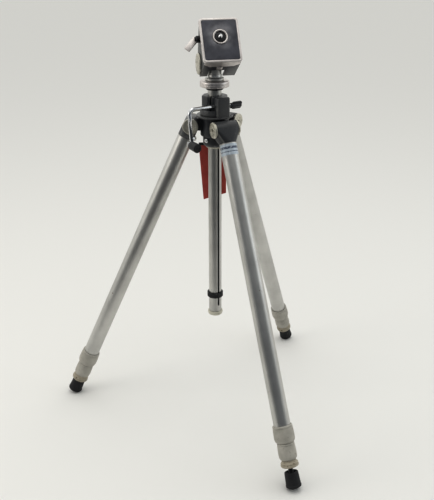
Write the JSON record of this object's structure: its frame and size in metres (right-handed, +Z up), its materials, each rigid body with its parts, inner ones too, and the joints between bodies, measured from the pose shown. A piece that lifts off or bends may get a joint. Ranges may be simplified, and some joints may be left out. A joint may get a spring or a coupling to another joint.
{
  "type": "tripod with pan and tilt head",
  "caption": "Camera tripod: twist-lock telescopic legs on a cast shoulder, geared centre column with crank, and a pan and tilt head with a padded camera platform and screw.",
  "frame": {"origin": "bottom centre of the bounding box, on the floor that the feet stand on", "axes": "+Z up along the centre column; -Y is the side that the camera platform faces when tipped forward; +X is to the right seen from that side"},
  "size_m": [0.4568, 0.518, 0.7113],
  "materials": {
    "satin_aluminium": "satin drawn tube",
    "dull_aluminium": "turned and worn",
    "chrome": "polished plating",
    "black_paint": "semi-gloss black",
    "black_steel": "blackened",
    "black_plastic": "matt moulded",
    "grey_plastic": "warm grey moulded",
    "beige_plastic": "yellowed moulded",
    "ivory_plastic": "ivory, slightly glossy",
    "rubber": "moulded rubber",
    "pad_rubber": "scuffed, slightly shiny",
    "red_webbing": "woven webbing"
  },
  "bodies": {
    "shoulder": {"spider": "black_paint", "elevator_housing": "black_paint", "lower_collar": "black_paint", "column_bush": "ivory_plastic", "collar_bolt": "chrome", "strap_bar": "black_steel", "leg_strap": "red_webbing"},
    "front_leg": {"front_hip_fork": "black_paint", "front_hip_pin": "ivory_plastic", "front_hip_cap": "ivory_plastic", "front_upper_tube": "satin_aluminium"},
    "front_upper_lock": {"front_upper_lock": "grey_plastic"},
    "front_middle_section": {"front_middle_tube": "satin_aluminium"},
    "front_lower_lock": {"front_lower_lock": "grey_plastic"},
    "front_lower_section": {"front_lower_tube": "satin_aluminium", "front_foot_flange": "beige_plastic"},
    "front_spindle": {"front_foot_spindle": "black_steel"},
    "front_foot": {"front_rubber_foot": "rubber"},
    "rear_leg": {"rear_hip_fork": "black_paint", "rear_hip_pin": "ivory_plastic", "rear_hip_cap": "ivory_plastic", "rear_upper_tube": "satin_aluminium"},
    "rear_upper_lock": {"rear_upper_lock": "grey_plastic"},
    "rear_middle_section": {"rear_middle_tube": "satin_aluminium"},
    "rear_lower_lock": {"rear_lower_lock": "grey_plastic"},
    "rear_lower_section": {"rear_lower_tube": "satin_aluminium", "rear_foot_flange": "beige_plastic"},
    "rear_spindle": {"rear_foot_spindle": "black_steel"},
    "rear_foot": {"rear_rubber_foot": "rubber"},
    "left_leg": {"left_hip_fork": "black_paint", "left_hip_pin": "ivory_plastic", "left_hip_cap": "ivory_plastic", "left_upper_tube": "satin_aluminium"},
    "left_upper_lock": {"left_upper_lock": "grey_plastic"},
    "left_middle_section": {"left_middle_tube": "satin_aluminium"},
    "left_lower_lock": {"left_lower_lock": "grey_plastic"},
    "left_lower_section": {"left_lower_tube": "satin_aluminium", "left_foot_flange": "beige_plastic"},
    "left_spindle": {"left_foot_spindle": "black_steel"},
    "left_foot": {"left_rubber_foot": "rubber"},
    "column": {"column_tube": "satin_aluminium", "column_rack": "black_steel", "stop_ring": "rubber", "column_end_cap": "ivory_plastic", "column_washer": "rubber", "pan_disc": "dull_aluminium"},
    "crank": {"crank_rod": "chrome"},
    "crank_stud": {"crank_stud": "chrome"},
    "crank_grip": {"crank_grip": "black_plastic"},
    "column_lock": {"column_lock_knob": "black_plastic"},
    "pan": {"head_neck": "chrome"},
    "head": {"head_housing": "black_paint", "platform": "dull_aluminium", "platform_pad": "pad_rubber", "screw_ring": "chrome", "tilt_pin": "black_steel", "tilt_cap": "ivory_plastic"},
    "tilt_lever": {"tilt_lever": "satin_aluminium"},
    "camera_screw": {"camera_screw": "chrome"}
  },
  "joints": [
    {"name": "front_leg_splay", "type": "hinge", "parent": "shoulder", "child": "front_leg", "pos_m": [0.07667, -0.01697, 0.53977], "axis": [-0.9011, -0.4337, 0], "range_deg": [-25.61, 0]},
    {"name": "front_upper_lock_twist", "type": "hinge", "parent": "front_leg", "child": "front_upper_lock", "pos_m": [0.1704, -0.21172, 0.08889], "axis": [0.1875, -0.3895, -0.9017], "range_deg": [0, 120]},
    {"name": "front_middle_slide", "type": "slide", "parent": "front_leg", "child": "front_middle_section", "axis": [0.1875, -0.3895, -0.9017], "range_m": [0, 0.38]},
    {"name": "front_lower_lock_twist", "type": "hinge", "parent": "front_middle_section", "child": "front_lower_lock", "pos_m": [0.17603, -0.22341, 0.06184], "axis": [0.1875, -0.3895, -0.9017], "range_deg": [0, 120]},
    {"name": "front_lower_slide", "type": "slide", "parent": "front_middle_section", "child": "front_lower_section", "axis": [0.1875, -0.3895, -0.9017], "range_m": [0, 0.38]},
    {"name": "front_foot_travel", "type": "slide", "parent": "front_lower_section", "child": "front_spindle", "axis": [0.1875, -0.3895, -0.9017], "range_m": [-0.0077, 0.003]},
    {"name": "front_foot_turn", "type": "hinge", "parent": "front_spindle", "child": "front_foot", "pos_m": [0.18727, -0.24678, 0.00774], "axis": [0.1875, -0.3895, -0.9017], "range_deg": [-2217.6, 864]},
    {"name": "rear_leg_splay", "type": "hinge", "parent": "shoulder", "child": "rear_leg", "pos_m": [0.08171, 0.05004, 0.53977], "axis": [0.8261, -0.5635, 0], "range_deg": [-24.1, 0]},
    {"name": "rear_upper_lock_twist", "type": "hinge", "parent": "rear_leg", "child": "rear_upper_lock", "pos_m": [0.19677, 0.2187, 0.08335], "axis": [0.2301, 0.3373, -0.9128], "range_deg": [0, 120]},
    {"name": "rear_middle_slide", "type": "slide", "parent": "rear_leg", "child": "rear_middle_section", "axis": [0.2301, 0.3373, -0.9128], "range_m": [0, 0.38]},
    {"name": "rear_lower_lock_twist", "type": "hinge", "parent": "rear_middle_section", "child": "rear_lower_lock", "pos_m": [0.20367, 0.22882, 0.05597], "axis": [0.2301, 0.3373, -0.9128], "range_deg": [0, 120]},
    {"name": "rear_lower_slide", "type": "slide", "parent": "rear_middle_section", "child": "rear_lower_section", "axis": [0.2301, 0.3373, -0.9128], "range_m": [0, 0.38]},
    {"name": "rear_foot_travel", "type": "slide", "parent": "rear_lower_section", "child": "rear_spindle", "axis": [0.2301, 0.3373, -0.9128], "range_m": [-0.0007, 0.01]},
    {"name": "rear_foot_turn", "type": "hinge", "parent": "rear_spindle", "child": "rear_foot", "pos_m": [0.21748, 0.24906, 0.0012], "axis": [0.2301, 0.3373, -0.9128], "range_deg": [-201.6, 2880]},
    {"name": "left_leg_splay", "type": "hinge", "parent": "shoulder", "child": "left_leg", "pos_m": [0.02116, 0.0209, 0.53977], "axis": [0.075, 0.9972, 0], "range_deg": [-24.1, 0]},
    {"name": "left_upper_lock_twist", "type": "hinge", "parent": "left_leg", "child": "left_upper_lock", "pos_m": [-0.18243, 0.03621, 0.08335], "axis": [-0.4072, 0.0306, -0.9128], "range_deg": [0, 120]},
    {"name": "left_middle_slide", "type": "slide", "parent": "left_leg", "child": "left_middle_section", "axis": [-0.4072, 0.0306, -0.9128], "range_m": [0, 0.38]},
    {"name": "left_lower_lock_twist", "type": "hinge", "parent": "left_middle_section", "child": "left_lower_lock", "pos_m": [-0.19465, 0.03712, 0.05597], "axis": [-0.4072, 0.0306, -0.9128], "range_deg": [0, 120]},
    {"name": "left_lower_slide", "type": "slide", "parent": "left_middle_section", "child": "left_lower_section", "axis": [-0.4072, 0.0306, -0.9128], "range_m": [0, 0.38]},
    {"name": "left_foot_travel", "type": "slide", "parent": "left_lower_section", "child": "left_spindle", "axis": [-0.4072, 0.0306, -0.9128], "range_m": [-0.0007, 0.01]},
    {"name": "left_foot_turn", "type": "hinge", "parent": "left_spindle", "child": "left_foot", "pos_m": [-0.21908, 0.03896, 0.0012], "axis": [-0.4072, 0.0306, -0.9128], "range_deg": [-201.6, 2880]},
    {"name": "column_slide", "type": "slide", "parent": "shoulder", "child": "column", "axis": [0, 0, 1], "range_m": [-0.009, 0.271]},
    {"name": "crank_turn", "type": "hinge", "parent": "shoulder", "child": "crank", "pos_m": [0.06867, 0.0044, 0.57377], "axis": [0.8387, 0.5446, 0], "range_deg": [-86.5, 2590.5]},
    {"name": "crank_grip_fold", "type": "hinge", "parent": "crank", "child": "crank_stud", "pos_m": [0.01962, -0.03648, 0.5199], "axis": [-0.0758, 0.1167, 0.9903], "range_deg": [-90, 0]},
    {"name": "crank_grip_spin", "type": "hinge", "parent": "crank_stud", "child": "crank_grip", "pos_m": [0.01962, -0.03648, 0.5199], "axis": [0.5433, -0.8366, -0.0698], "continuous": true},
    {"name": "column_lock_turn", "type": "hinge", "parent": "shoulder", "child": "column_lock", "pos_m": [0.05985, 0.01799, 0.56677], "axis": [0.8387, 0.5446, 0], "range_deg": [0, 270]},
    {"name": "pan", "type": "hinge", "parent": "column", "child": "pan", "pos_m": [0.05985, 0.01799, 0.61477], "axis": [0, 0, 1], "continuous": true},
    {"name": "tilt", "type": "hinge", "parent": "pan", "child": "head", "pos_m": [0.05985, 0.01799, 0.63977], "axis": [0.977, 0.213, 0], "range_deg": [-57.5, 32]},
    {"name": "tilt_lever_turn", "type": "hinge", "parent": "head", "child": "tilt_lever", "pos_m": [0.03619, 0.00916, 0.67881], "axis": [0.977, 0.213, 0], "range_deg": [-20, 40]},
    {"name": "camera_screw_turn", "type": "hinge", "parent": "head", "child": "camera_screw", "pos_m": [0.06907, -0.00551, 0.6844], "axis": [0.1797, -0.824, 0.5373], "continuous": true}
  ],
  "couplings": [
    {"joint": "front_foot_turn", "follows": "front_foot_travel", "rad_per_m": 5026.5},
    {"joint": "rear_foot_turn", "follows": "rear_foot_travel", "rad_per_m": 5026.5},
    {"joint": "left_foot_turn", "follows": "left_foot_travel", "rad_per_m": 5026.5},
    {"joint": "crank_turn", "follows": "column_slide", "rad_per_m": 166.67}
  ]
}
